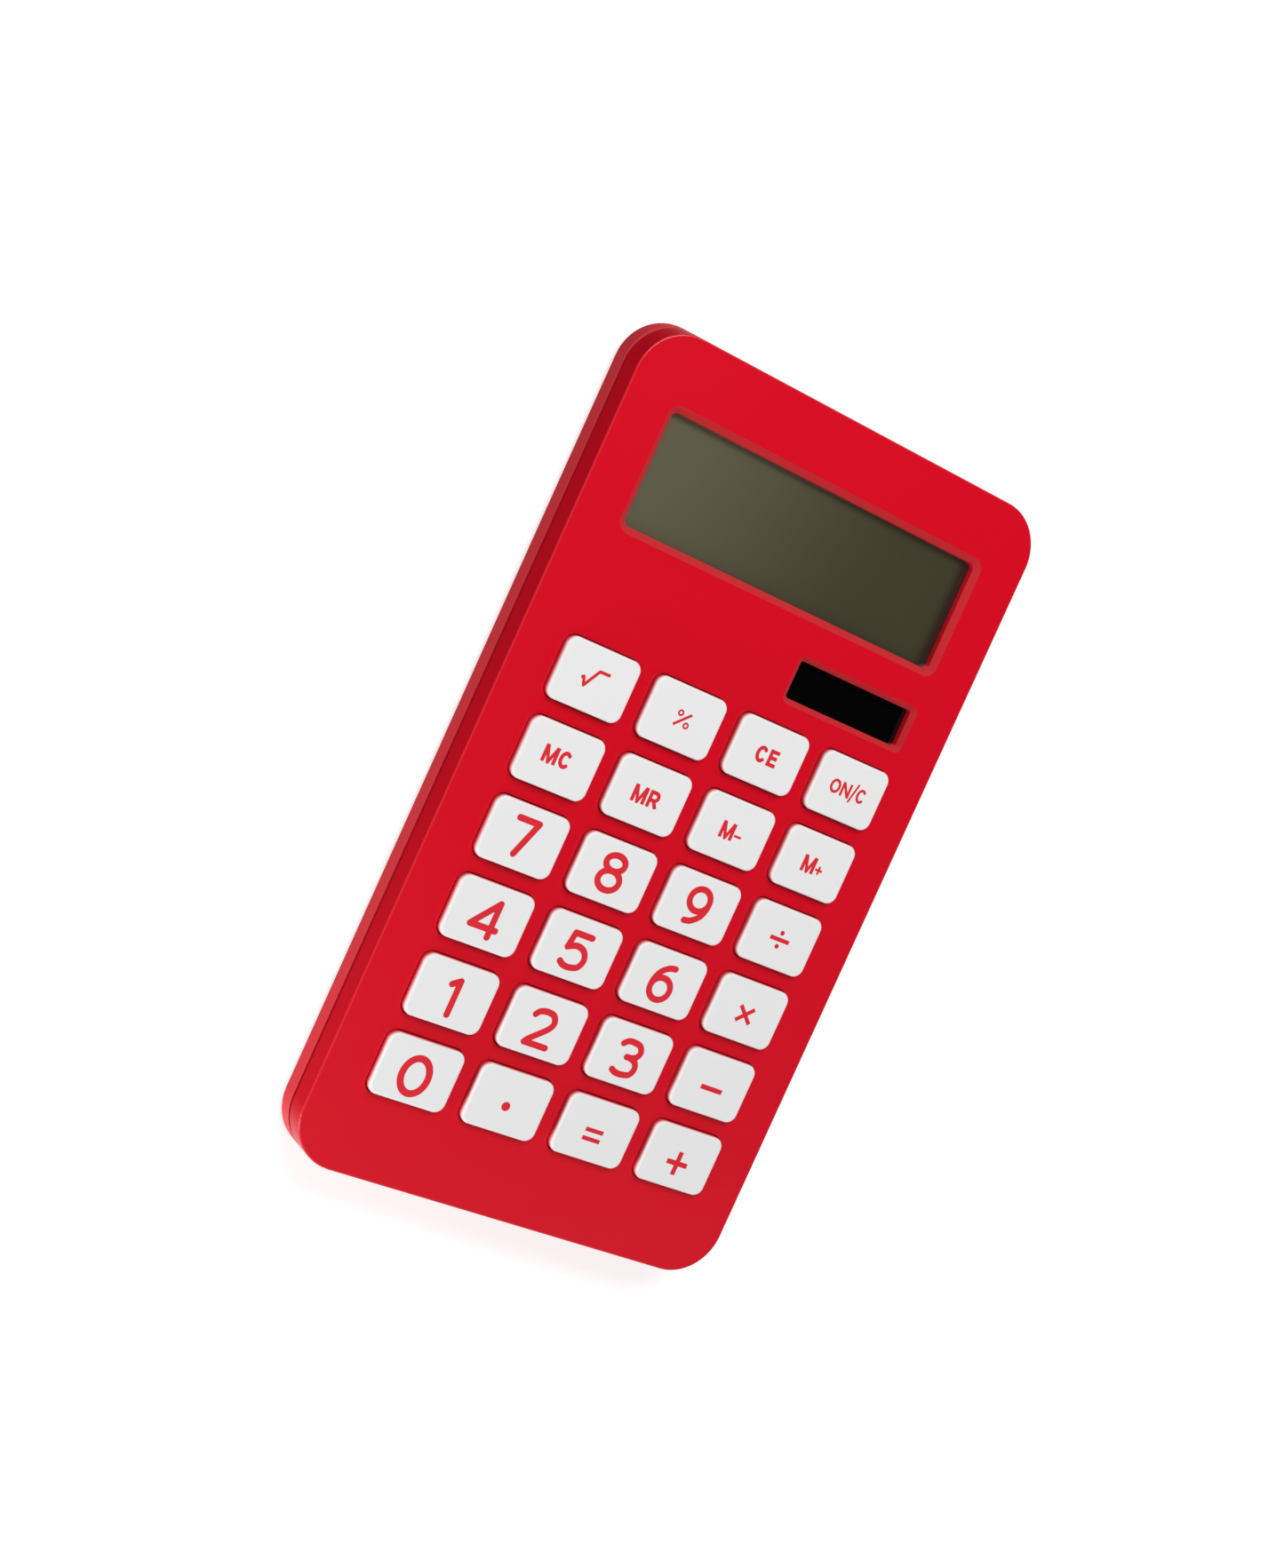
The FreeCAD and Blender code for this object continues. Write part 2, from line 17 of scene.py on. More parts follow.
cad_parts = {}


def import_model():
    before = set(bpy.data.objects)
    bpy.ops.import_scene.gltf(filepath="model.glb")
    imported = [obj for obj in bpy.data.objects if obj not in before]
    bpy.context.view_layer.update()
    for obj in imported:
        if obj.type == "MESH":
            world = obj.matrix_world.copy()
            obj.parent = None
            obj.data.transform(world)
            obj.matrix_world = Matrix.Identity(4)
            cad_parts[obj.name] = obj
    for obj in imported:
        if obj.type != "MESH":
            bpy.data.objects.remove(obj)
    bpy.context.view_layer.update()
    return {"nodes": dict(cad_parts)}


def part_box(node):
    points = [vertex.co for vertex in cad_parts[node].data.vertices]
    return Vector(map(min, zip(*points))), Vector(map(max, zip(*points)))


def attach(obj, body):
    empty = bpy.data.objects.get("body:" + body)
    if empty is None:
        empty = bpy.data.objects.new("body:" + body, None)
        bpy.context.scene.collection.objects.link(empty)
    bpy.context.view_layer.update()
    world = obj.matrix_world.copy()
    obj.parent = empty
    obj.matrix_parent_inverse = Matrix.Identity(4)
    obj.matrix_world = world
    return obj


MM = 0.001
WHITE = "#FFFFFF"
LOG = logging.getLogger("calculator")

Point = tuple[float, float]
Colour = tuple[float, float, float, float]


# ---- colours and nodes -------------------------------------------------------------------


def linear(hex_colour: str) -> Colour:
    """Turn an sRGB hex colour into linear light.

    Args:
        hex_colour: Six hex digits with a leading hash.

    Returns:
        Red, green, blue and an alpha of one.
    """
    channels = [int(hex_colour[i:i + 2], 16) / 255 for i in (1, 3, 5)]
    light = [c / 12.92 if c <= 0.04045 else ((c + 0.055) / 1.055) ** 2.4 for c in channels]
    return (light[0], light[1], light[2], 1.0)


def add_node(tree: bpy.types.NodeTree, kind: str, settings: dict | None = None,
             values: dict | None = None, links: dict | None = None) -> bpy.types.Node:
    """Add one node with its settings, socket values and incoming links.

    Args:
        tree: Node tree that gets the node.
        kind: Blender's name for the node type, without its ShaderNode prefix.
        settings: Properties of the node itself.
        values: Input sockets by name or number, and the value each is set to.
        links: Input sockets by name or number, and the output socket that feeds each.

    Returns:
        The new node.
    """
    node = tree.nodes.new("ShaderNode" + kind)
    for name, value in (settings or {}).items():
        setattr(node, name, value)
    for name, value in (values or {}).items():
        node.inputs[name].default_value = value
    for name, source in (links or {}).items():
        tree.links.new(source, node.inputs[name])
    return node


def noise_scale(size_mm: float) -> float:
    """Noise scale that gives features of a real size when it reads object coordinates."""
    return 1.0 / (size_mm * MM)


class Grain(Enum):
    """How a moulded or cut surface was left."""

    POLISHED = "polished"
    SATIN = "satin"
    SPARKED = "sparked"


@dataclass(frozen=True)
class Texture:
    """Bump and gloss variation that belongs to one grain."""

    feature_mm: float
    height_mm: float
    gloss_swing: float


# A polished mould leaves no relief, only a slow change of gloss. Satin and spark-eroded grain
# are finer than this on a real mould, and are drawn coarser so that they show.
TEXTURES: dict[Grain, Texture] = {
    Grain.POLISHED: Texture(feature_mm=25.0, height_mm=0.0, gloss_swing=0.02),
    Grain.SATIN: Texture(feature_mm=0.5, height_mm=0.002, gloss_swing=0.05),
    Grain.SPARKED: Texture(feature_mm=0.35, height_mm=0.006, gloss_swing=0.08),
}


@dataclass(frozen=True)
class Finish:
    """One real material with the surface that its making left.

    The colour drifts a little between two tones over the tone size, the gloss swings with
    the grain, and the grain's relief is bump. Dust lies as pale specks a dust size apart.
    Faces that look up, and sloping ones such as the bevels of a window, may be painted a
    darker tone, a painted shade. A painted bounce is the colour of the light that a neighbour
    throws on the lower sides, painted in, and it fades out between two heights.
    """

    name: str
    tone_a: str
    tone_b: str
    roughness: float
    grain: Grain = Grain.POLISHED
    tone_mm: float = 40.0
    metallic: float = 0.0
    ior: float = 1.5
    dust_mm: float = 0.0
    upward_painted_shade: str = ""
    sloped_painted_shade: str = ""
    painted_bounce: str = ""
    painted_bounce_z_mm: Point = (0.0, 0.0)
    transmission: float = 0.0

    def drifting(self, tree: bpy.types.NodeTree,
                 place: bpy.types.NodeSocket) -> bpy.types.NodeSocket:
        """Colour that drifts between the two tones.

        Args:
            tree: Node tree of the material.
            place: Object coordinates.

        Returns:
            The colour.
        """
        drift = add_node(tree, "TexNoise",
                         values={"Scale": noise_scale(self.tone_mm), "Detail": 3.0},
                         links={"Vector": place})
        tone = add_node(tree, "Mix", {"data_type": "RGBA"},
                        {6: linear(self.tone_a), 7: linear(self.tone_b)},
                        {0: drift.outputs["Fac"]})
        return tone.outputs[2]

    def dusted(self, tree: bpy.types.NodeTree, place: bpy.types.NodeSocket,
               colour: bpy.types.NodeSocket) -> bpy.types.NodeSocket:
        """Colour with pale dust specks on it.

        Args:
            tree: Node tree of the material.
            place: Object coordinates.
            colour: Clean colour.

        Returns:
            The dusted colour.
        """
        specks = add_node(tree, "TexVoronoi", values={"Scale": noise_scale(self.dust_mm)},
                          links={"Vector": place})
        size = DUST_GRAIN_MM / self.dust_mm
        cover = add_node(tree, "MapRange", values={
            "From Min": size / 2, "From Max": size, "To Min": DUST_COVER, "To Max": 0.0},
            links={"Value": specks.outputs["Distance"]})
        return add_node(tree, "Mix", {"data_type": "RGBA"}, {7: linear(DUST_TONE)},
                        {0: cover.outputs[0], 6: colour}).outputs[2]

    def with_painted_bounce(self, tree: bpy.types.NodeTree, place: bpy.types.NodeSocket,
                colour: bpy.types.NodeSocket) -> bpy.types.NodeSocket:
        """Colour with a neighbour's light painted on its lower part, a painted bounce light.

        Args:
            tree: Node tree of the material.
            place: Object coordinates.
            colour: Colour above the painted bounce.

        Returns:
            The colour with the painted bounce.
        """
        height = add_node(tree, "SeparateXYZ", links={0: place}).outputs["Z"]
        bottom, top = (z * MM for z in self.painted_bounce_z_mm)
        fade = add_node(tree, "MapRange", {"interpolation_type": "SMOOTHSTEP"},
                        {"From Min": bottom, "From Max": top}, {"Value": height})
        return add_node(tree, "Mix", {"data_type": "RGBA"}, {6: linear(self.painted_bounce)},
                        {0: fade.outputs[0], 7: colour}).outputs[2]

    def material(self) -> bpy.types.Material:
        """Build the finish, or hand back the one built earlier.

        Returns:
            The material, ready to assign.
        """
        found = bpy.data.materials.get(self.name)
        if found is not None:
            return found
        made = bpy.data.materials.new(self.name)
        made.use_nodes = True
        tree = made.node_tree
        tree.nodes.clear()
        where = add_node(tree, "TexCoord")
        place = where.outputs["Object"]
        texture = TEXTURES[self.grain]
        relief = add_node(tree, "TexNoise",
                          values={"Scale": noise_scale(texture.feature_mm), "Detail": 2.0},
                          links={"Vector": place})
        gloss = add_node(tree, "MapRange",
                         values={"To Min": self.roughness - texture.gloss_swing / 2,
                                 "To Max": self.roughness + texture.gloss_swing / 2},
                         links={"Value": relief.outputs["Fac"]}).outputs[0]
        colour = self.drifting(tree, place)
        if self.dust_mm:
            colour = self.dusted(tree, place, colour)
        if self.upward_painted_shade or self.sloped_painted_shade:
            facing = add_node(tree, "SeparateXYZ", links={0: where.outputs["Normal"]}).outputs["Z"]
        # Painted shade: faces that look up, such as a rim deep in a seam, are mixed towards a
        # darker tone.
        if self.upward_painted_shade:
            ledge = add_node(tree, "MapRange",
                             values={"From Min": UPWARD_FROM, "From Max": UPWARD_FULL},
                             links={"Value": facing})
            colour = add_node(tree, "Mix", {"data_type": "RGBA"}, {7: linear(self.upward_painted_shade)},
                              {0: ledge.outputs[0], 6: colour}).outputs[2]
        # Painted shade: sloping faces such as window bevels are mixed towards a darker tone.
        if self.sloped_painted_shade:
            slope = add_node(tree, "Math", {"operation": "COMPARE"},
                             {1: SLOPE_FACING, 2: SLOPE_SPREAD}, {0: facing}).outputs[0]
            colour = add_node(tree, "Mix", {"data_type": "RGBA"}, {7: linear(self.sloped_painted_shade)},
                              {0: slope, 6: colour}).outputs[2]
            gloss = add_node(tree, "Mix", {"data_type": "FLOAT"}, {3: SLOPE_ROUGHNESS},
                             {0: slope, 2: gloss}).outputs[0]
        # Painted bounce light: the red case's light is painted on the lower sides of the caps.
        if self.painted_bounce:
            colour = self.with_painted_bounce(tree, place, colour)
        shader = add_node(tree, "BsdfPrincipled",
                          values={"Metallic": self.metallic, "IOR": self.ior,
                                  "Transmission Weight": self.transmission},
                          links={"Base Color": colour, "Roughness": gloss})
        if texture.height_mm:
            bump = add_node(tree, "Bump",
                            values={"Strength": 1.0, "Distance": texture.height_mm * MM},
                            links={"Height": relief.outputs["Fac"]})
            tree.links.new(bump.outputs["Normal"], shader.inputs["Normal"])
        add_node(tree, "OutputMaterial", links={"Surface": shader.outputs[0]})
        return made


# Radius of a dust grain, drawn coarser than the real one so that it shows.
DUST_GRAIN_MM = 0.11
# How much of the colour below a dust grain covers, and the grain's own colour on red plastic.
DUST_COVER = 0.45
DUST_TONE = "#F2B6B4"
# Normal's upright part where the painted shade on upward faces starts, and where it is full.
UPWARD_FROM = 0.3
UPWARD_FULL = 0.8
# Upright part of a window bevel's normal, how far either side of it still counts as a bevel,
# which is painted darker as painted shade, and the bevel's roughness, as that part of the
# mould isn't polished.
SLOPE_FACING = 0.78
SLOPE_SPREAD = 0.12
SLOPE_ROUGHNESS = 0.8

# Injection-moulded ABS in a signal red, from a polished mould: deep even colour and a soft
# gloss, with duller bevels round the windows that are painted darker, a painted shade.
RED_ABS = Finish("moulded_red_abs", "#CB001B", "#C8021E", 0.28, tone_mm=60.0, dust_mm=9.0,
                 sloped_painted_shade="#B40012")
# The same red ABS from a lightly spark-eroded mould: the rear looks paler and softer. Its upper
# rim in the seam, which looks up, is painted a deep red, a painted shade in the seam.
SPARKED_RED_ABS = Finish("spark_textured_red_abs", "#D9363F", "#D5323C", 0.5, Grain.SPARKED,
                         tone_mm=60.0, upward_painted_shade="#B80018")
# White ABS key caps, from a satin mould: clean white that takes a broad soft sheen. The red
# light that the case throws on their lower sides is painted in, a painted bounce light.
WHITE_ABS = Finish("moulded_white_key_abs", "#DFDEDE", "#DCDCDC", 0.42, Grain.SATIN,
                   painted_bounce="#D8303F", painted_bounce_z_mm=(11.15, 12.32))
# Pad-printed ink in the case's red, a thin matt film: the ABS's red without its gloss.
PAD_INK = Finish("pad_printed_red_ink", "#D0051F", "#CB041D", 0.6, Grain.SATIN, tone_mm=3.0)
# Amorphous silicon behind float glass: near black, with a mirror surface.
SOLAR_GLASS = Finish("amorphous_solar_glass", "#040405", "#060506", 0.06, tone_mm=12.0)
# Woven glass laminate under solder mask: dark green with a wet gloss.
BOARD_LAMINATE = Finish("solder_masked_laminate", "#0F4A22", "#0C401C", 0.35, Grain.SATIN, 2.0)
# Printed carbon over copper: dull charcoal.
CARBON_PRINT = Finish("printed_carbon_pad", "#26272B", "#1D1E21", 0.6, Grain.SATIN, 1.0)
# Moulded silicone rubber: milky grey and dull, without a clear highlight.
SILICONE = Finish("moulded_silicone_rubber", "#C9C8C4", "#BEBDB9", 0.55, Grain.SATIN, 12.0,
                  ior=1.41)
# Carbon-filled silicone: soft matt black.
CARBON_RUBBER = Finish("carbon_filled_rubber", "#141414", "#1B1B1B", 0.7, Grain.SATIN, 2.0)
# Zinc-plated steel screws, cold-headed and tumbled: bright grey with small gloss changes.
ZINC_STEEL = Finish("zinc_plated_screw_steel", "#B9BAB8", "#A7A9A8", 0.32, Grain.SATIN, 0.8,
                    metallic=1.0)
# Nickel-plated steel strip and cell can, rolled: warm bright metal.
NICKEL_STEEL = Finish("nickel_plated_steel", "#CCC8BE", "#C2BDB2", 0.24, Grain.SATIN, 1.5,
                      metallic=1.0)
# Matt rubber feet, punched from sheet: charcoal with a dry surface.
FOOT_RUBBER = Finish("punched_foot_rubber", "#1E1E1F", "#262626", 0.8, Grain.SPARKED, 3.0)
# Natural ABS of the hidden holder: warm off-white, satin.
NATURAL_ABS = Finish("natural_abs_holder", "#DDD8C9", "#D6D1C2", 0.5, Grain.SATIN)
# Soda-lime display glass: clear, polished, with the green edge of float glass.
DISPLAY_GLASS = Finish("display_float_glass", "#E6F0E8", "#E2EEE6", 0.03, transmission=1.0,
                       ior=1.52)
# Silvered diffusing film behind the display: dull grey-green metal.
REFLECTOR_FILM = Finish("display_reflector_film", "#9FA38C", "#989C85", 0.45, Grain.SATIN,
                        5.0, metallic=1.0)
# Flexible PVC over stranded wire: red, soft gloss.
WIRE_PVC = Finish("wire_pvc_insulation", "#A3121A", "#981018", 0.4, Grain.SATIN, 2.0)
# Epoxy potting over the bonded chip: black with a flowed gloss.
POTTING_EPOXY = Finish("potting_epoxy", "#0C0C0D", "#121213", 0.2, Grain.POLISHED, 3.0)
# Moulded block capacitor: mustard thermoset, matt.
CAPACITOR_BODY = Finish("capacitor_moulding", "#C08A2E", "#B58128", 0.5, Grain.SATIN, 1.0)


@dataclass(frozen=True)
class PolariserFilm:
    """Smoked polarising film bonded to the display glass.

    Light goes in through the film and comes back from the silvered film behind, so the eye
    sees a dim olive metal below a clear glossy skin. It is painted paler towards the upper
    left corner, a painted sheen, and darker along the right, a painted shadow that the red
    bezel casts on the silvered film.
    """

    name: str = "smoked_display_polariser"
    # Pale and deep tones of the painted sheen, then the colour of the painted bezel shadow.
    pale: str = "#615E48"
    deep: str = "#403D28"
    shade: str = "#23090A"
    roughness: float = 0.42
    metallic: float = 0.3
    skin_roughness: float = 0.05
    fade_slant: float = 0.6
    fade_share: float = 0.8
    lap_mm: float = 1.6
    shade_mm: float = 3.2
    shade_cover: float = 0.95
    haze_mm: float = 0.4
    haze_height_mm: float = 0.002
    haze_strength: float = 0.3

    def tone(self, tree: bpy.types.NodeTree, place: bpy.types.NodeSocket, low: Vector,
             high: Vector) -> bpy.types.NodeSocket:
        """Colour with a slantwise painted sheen and a painted shadow by the right bezel.

        Args:
            tree: Node tree of the material.
            place: Object coordinates.
            low: Lowest corner of the film.
            high: Highest corner of the film.

        Returns:
            The colour.
        """
        # Painted sheen: paler at the upper left corner, deeper towards the lower right.
        across = Vector((high.x - low.x, -(high.y - low.y) * self.fade_slant, 0.0))
        direction = across / across.length_squared
        begin = Vector((low.x, high.y, 0.0)).dot(direction)
        along = add_node(tree, "VectorMath", {"operation": "DOT_PRODUCT"}, {1: direction},
                         {0: place})
        fade = add_node(tree, "MapRange", {"interpolation_type": "SMOOTHSTEP"},
                        {"From Min": begin, "From Max": begin + self.fade_share},
                        {"Value": along.outputs["Value"]})
        film = add_node(tree, "Mix", {"data_type": "RGBA"},
                        {6: linear(self.pale), 7: linear(self.deep)}, {0: fade.outputs[0]})
        # Painted shadow: the red bezel's shade on the silvered film, darkest at the right.
        bezel = high.x - self.lap_mm * MM
        edge = add_node(tree, "MapRange", {"interpolation_type": "SMOOTHSTEP"},
                        {"From Min": bezel - self.shade_mm * MM, "From Max": bezel,
                         "To Max": self.shade_cover},
                        {"Value": add_node(tree, "SeparateXYZ", links={0: place}).outputs["X"]})
        return add_node(tree, "Mix", {"data_type": "RGBA"}, {7: linear(self.shade)},
                        {0: edge.outputs[0], 6: film.outputs[2]}).outputs[2]

    def material(self, low: Vector, high: Vector) -> bpy.types.Material:
        """Build the film's material over the area that it covers.

        Args:
            low: Lowest corner of the film.
            high: Highest corner of the film.

        Returns:
            The material, ready to assign.
        """
        made = bpy.data.materials.new(self.name)
        made.use_nodes = True
        tree = made.node_tree
        tree.nodes.clear()
        place = add_node(tree, "TexCoord").outputs["Object"]
        haze = add_node(tree, "TexNoise",
                        values={"Scale": noise_scale(self.haze_mm), "Detail": 2.0},
                        links={"Vector": place})
        bump = add_node(tree, "Bump",
                        values={"Strength": self.haze_strength,
                                "Distance": self.haze_height_mm * MM},
                        links={"Height": haze.outputs["Fac"]})
        shader = add_node(tree, "BsdfPrincipled",
                          values={"Metallic": self.metallic, "Roughness": self.roughness,
                                  "Coat Weight": 1.0, "Coat Roughness": self.skin_roughness},
                          links={"Base Color": self.tone(tree, place, low, high),
                                 "Normal": bump.outputs["Normal"]})
        add_node(tree, "OutputMaterial", links={"Surface": shader.outputs[0]})
        return made


# ---- legends -----------------------------------------------------------------------------


# Far below anything that shows: a length in millimetres that stands in for nothing.
HAIR_MM = 1e-9
# Points closer than this, in metres, are one point.
WELD_DISTANCE = 1e-7


@dataclass(frozen=True)
class Stroke:
    """One pen stroke of a legend, in millimetres about the legend's centre."""

    points: tuple[Point, ...]
    width: float
    square: bool = False
    closed: bool = False

    def distance(self, grid_x: np.ndarray, grid_y: np.ndarray) -> np.ndarray:
        """Signed distance from the stroke's edge, negative inside.

        Args:
            grid_x: Across positions in millimetres.
            grid_y: Up positions in millimetres.

        Returns:
            Distances in millimetres, in the grids' shape.
        """
        half = self.width / 2
        points = list(self.points) + ([self.points[0]] if self.closed else [])
        nearest = np.full(grid_x.shape, np.inf)
        for (ax, ay), (bx, by) in zip(points, points[1:]):
            length = math.hypot(bx - ax, by - ay)
            ux, uy = (bx - ax) / length, (by - ay) / length
            along = (grid_x - ax) * ux + (grid_y - ay) * uy
            aside = np.abs((grid_y - ay) * ux - (grid_x - ax) * uy)
            if self.square:
                past = np.abs(along - length / 2) - length / 2
                over = aside - half
                outside = np.hypot(np.maximum(past, 0), np.maximum(over, 0))
                span = outside + np.minimum(np.maximum(past, over), 0)
            else:
                past = np.maximum(np.abs(along - length / 2) - length / 2, 0)
                span = np.hypot(past, aside) - half
            nearest = np.minimum(nearest, span)
        if self.square:
            for x, y in self.points[1:-1]:
                nearest = np.minimum(nearest, np.hypot(grid_x - x, grid_y - y) - half)
        return nearest


def oval(cx: float, cy: float, rx: float, ry: float, start: float = 0.0, stop: float = 360.0,
         steps: int = 48) -> tuple[Point, ...]:
    """Points along part of an ellipse.

    Args:
        cx: Centre, across.
        cy: Centre, up.
        rx: Half width.
        ry: Half height.
        start: First angle in degrees, anticlockwise from the right.
        stop: Last angle in degrees.
        steps: Number of steps between the two angles.

    Returns:
        The points. A full turn leaves out the repeated last one.
    """
    whole = abs(stop - start) >= 360.0
    count = steps if whole else steps + 1
    angles = [math.radians(start + (stop - start) * i / steps) for i in range(count)]
    return tuple((cx + rx * math.cos(a), cy + ry * math.sin(a)) for a in angles)


def smooth(points: tuple[Point, ...], steps: int = 8) -> tuple[Point, ...]:
    """Round path through every given point.

    Args:
        points: Points that the path goes through.
        steps: Steps between two points.

    Returns:
        The finer points.
    """
    ends = [points[0], *points, points[-1]]
    path = []
    for a, b, c, d in zip(ends, ends[1:], ends[2:], ends[3:]):
        for i in range(steps):
            t = i / steps
            path.append(tuple(
                0.5 * (2 * q + (r - p) * t + (2 * p - 5 * q + 4 * r - s) * t * t
                       + (3 * q - p - 3 * r + s) * t ** 3)
                for p, q, r, s in zip(a, b, c, d)))
    return (*path, points[-1])


def moved(strokes: list[Stroke], dx: float, dy: float = 0.0) -> list[Stroke]:
    """The same strokes, shifted across and up."""
    return [Stroke(tuple((x + dx, y + dy) for x, y in s.points), s.width, s.square, s.closed)
            for s in strokes]


class Digit(Enum):
    """The ten digits, each as a round-ended monoline numeral."""

    ZERO = 0
    ONE = 1
    TWO = 2
    THREE = 3
    FOUR = 4
    FIVE = 5
    SIX = 6
    SEVEN = 7
    EIGHT = 8
    NINE = 9


@dataclass(frozen=True)
class Numerals:
    """Round-ended numerals drawn with one pen, in millimetres."""

    pen: float = 1.14
    rise: float = 2.98

    def strokes(self, digit: Digit) -> list[Stroke]:
        """Strokes of one numeral, about its own centre.

        Args:
            digit: Which numeral.

        Returns:
            The pen strokes.
        """
        pen, top = self.pen, self.rise
        six_hook = smooth(((1.35, top), (0.1, 2.72), (-1.25, 1.65), (-1.92, 0.2), (-2.04, -1.1)))
        six = [Stroke(six_hook, pen), Stroke(oval(-0.04, -1.09, 2.0, 1.97), pen, closed=True)]
        drawn = {
            Digit.ZERO: [Stroke(oval(0, 0, 2.42, 3.08), pen + 0.1, closed=True)],
            Digit.ONE: [Stroke(((-0.72, 2.1), (0.62, top), (0.62, -top)), pen)],
            Digit.TWO: [Stroke((*smooth(((-2.08, 2.0), (-1.45, 2.68), (-0.1, top), (1.3, 2.68),
                                         (1.93, 1.5), (1.45, 0.35), (0.0, -1.0), (-1.45, -2.25),
                                         (-2.05, -top))), (2.2, -top)), pen)],
            Digit.THREE: [
                Stroke(smooth(((-2.0, 2.3), (-1.2, 2.88), (-0.1, top), (1.25, 2.68), (1.9, 1.58),
                               (1.4, 0.6), (0.4, 0.22), (-0.35, 0.2))), pen),
                Stroke(smooth(((-0.35, 0.2), (0.6, 0.14), (1.62, -0.38), (2.02, -1.45),
                               (1.5, -2.6), (0.1, -top), (-1.2, -2.95), (-2.1, -2.55))), pen)],
            Digit.FOUR: [Stroke(((1.5, -top), (1.5, 2.94), (-2.4, -1.6), (2.44, -1.6)), pen)],
            Digit.FIVE: [Stroke((
                (1.87, top - 0.05), (-1.46, top - 0.05),
                *smooth(((-1.88, 0.28), (-0.25, 0.88), (1.35, 0.4), (2.05, -1.05), (1.45, -2.5),
                         (-0.1, -top), (-1.3, -2.88), (-2.13, -2.4)))), pen)],
            Digit.SIX: six,
            Digit.SEVEN: [Stroke(((-1.9, top), (1.9, top), (-0.4, -top)), pen)],
            Digit.EIGHT: [Stroke(oval(0.0, 1.66, 1.84, 1.38), pen, closed=True),
                          Stroke(oval(0.0, -1.42, 2.07, 1.7), pen, closed=True)],
            Digit.NINE: [Stroke(tuple((-x, -y) for x, y in s.points), s.width, closed=s.closed)
                         for s in six],
        }
        return drawn[digit]


@dataclass(frozen=True)
class Lettering:
    """Plain upright capitals with square-cut ends, for the function keys, in millimetres."""

    height: float
    pen: float

    def glyph(self, letter: str) -> tuple[list[Stroke], float]:
        """One capital, its left edge at zero and its foot on zero.

        Args:
            letter: One of the capitals that a calculator needs, a sign or a slash.

        Returns:
            The strokes and the glyph's width.
        """
        h, pen = self.height, self.pen
        half = pen / 2
        low, high = half, h - half
        if letter == "M":
            w = h * 0.93
            sides = [Stroke(((x, 0.0), (x, h)), pen, True) for x in (half, w - half)]
            valley = Stroke(((half * 1.2, h), (w / 2, half * 0.4), (w - half * 1.2, h)),
                            pen * 0.86, True)
            return [*sides, valley], w
        if letter == "N":
            w = h * 0.78
            sides = [Stroke(((x, 0.0), (x, h)), pen, True) for x in (half, w - half)]
            return [*sides, Stroke(((half, h - half * 0.5), (w - half, half * 0.5)), pen, True)], w
        if letter == "C":
            w = h * 0.76
            return [Stroke(oval(w / 2, h / 2, w / 2 - half, h / 2 - half, 42, 318), pen, True)], w
        if letter == "O":
            w = h * 0.84
            ring = oval(w / 2, h / 2, w / 2 - half, h / 2 - half)
            return [Stroke(ring, pen, closed=True)], w
        if letter == "E":
            w = h * 0.64
            arms = [Stroke(((half, y), (x, y)), pen, True)
                    for y, x in ((low, w), (h * 0.52, w * 0.92), (high, w))]
            return [Stroke(((half, 0.0), (half, h)), pen, True), *arms], w
        if letter == "R":
            w = h * 0.76
            waist = h * 0.44
            bend = (high - waist) / 2
            bowl = (*((half, high), (w * 0.5, high)),
                    *oval(w * 0.52, high - bend, w * 0.44 - half, bend, 90, -90, 16),
                    (half, waist))
            leg = Stroke(((w * 0.52, waist), (w - half * 0.9, half * 0.2)), pen, True)
            return [Stroke(((half, 0.0), (half, h)), pen, True), Stroke(bowl, pen, True), leg], w
        if letter == "/":
            w = h * 0.36
            return [Stroke(((0.05, -h * 0.2), (w, h * 1.2)), pen * 0.8, True)], w
        sign = h * 0.5
        bars = [Stroke(((0.0, h * 0.36), (sign, h * 0.36)), pen * 0.62, True)]
        if letter == "+":
            bars.append(Stroke(((sign / 2, h * 0.36 - sign / 2), (sign / 2, h * 0.36 + sign / 2)),
                               pen * 0.62, True))
        return bars, sign

    def strokes(self, text: str, gap: float) -> list[Stroke]:
        """A word centred on the origin.

        Args:
            text: The capitals and signs.
            gap: Space between two glyphs in millimetres.

        Returns:
            The word's strokes.
        """
        drawn: list[Stroke] = []
        x = 0.0
        for letter in text:
            glyph, width = self.glyph(letter)
            drawn += moved(glyph, x)
            x += width + gap
        return moved(drawn, -(x - gap) / 2, -self.height / 2)


